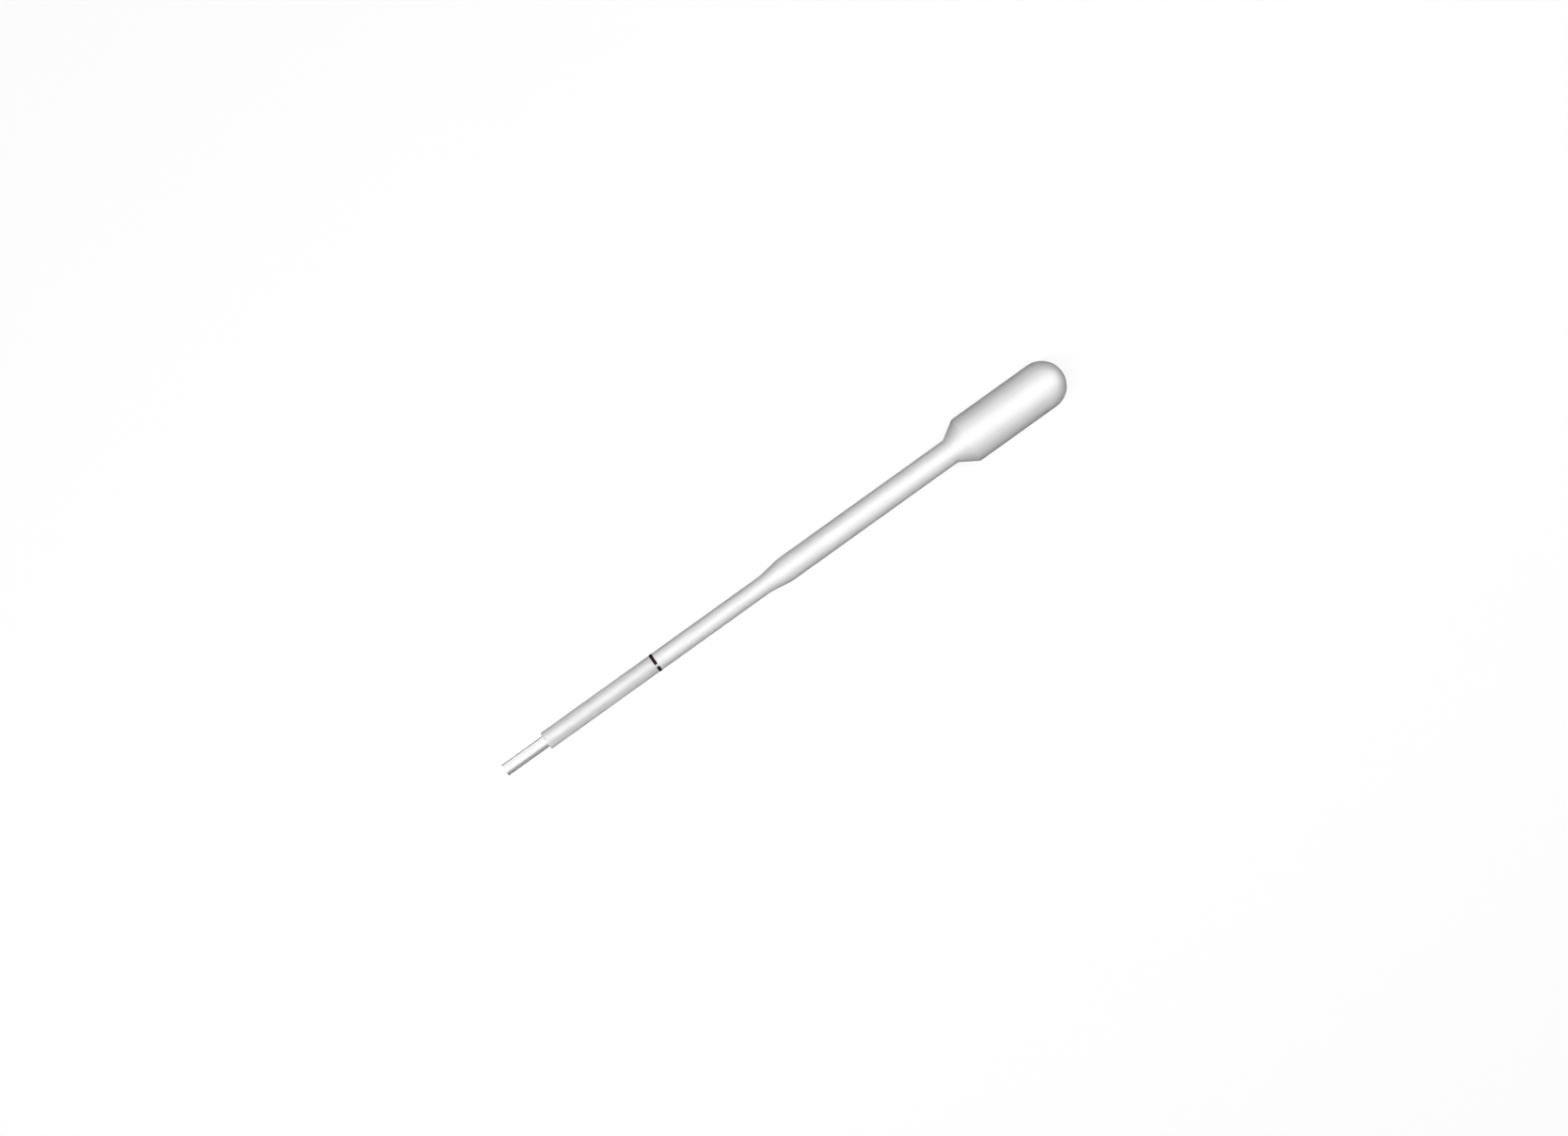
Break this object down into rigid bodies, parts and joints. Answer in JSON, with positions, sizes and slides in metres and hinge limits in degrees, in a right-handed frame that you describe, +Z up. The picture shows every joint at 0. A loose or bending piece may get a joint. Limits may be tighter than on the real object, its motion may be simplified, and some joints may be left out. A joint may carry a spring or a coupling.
{
  "type": "plastic dropper pipette",
  "caption": "Squeeze-bulb dropper pipette with a stepped stem, a black fill line broken by a vent hole, and a clear capillary tube in its tip.",
  "frame": {"origin": "middle of the pipette's length and width, on the flat surface that it lies on", "axes": "+X runs along the pipette from the capillary tip to the bulb, level with the surface; +Y is across it; +Z is up. The pipette's own axis rises 1.7 degrees towards +X, because it lies on the stem's mouth rim and on the bulb's lower edge"},
  "size_m": [0.155, 0.0114, 0.012],
  "materials": {
    "natural_ldpe": "blown natural low-density polyethylene, milky and translucent, with a soft satin gloss",
    "clear_plastic": "clear extruded rigid plastic, smooth and glossy",
    "black_ink": "printed warm black ink, satin"
  },
  "bodies": {
    "root": {"body": "natural_ldpe", "capillary_tube": "clear_plastic", "fill_line": "black_ink"}
  },
  "joints": []
}
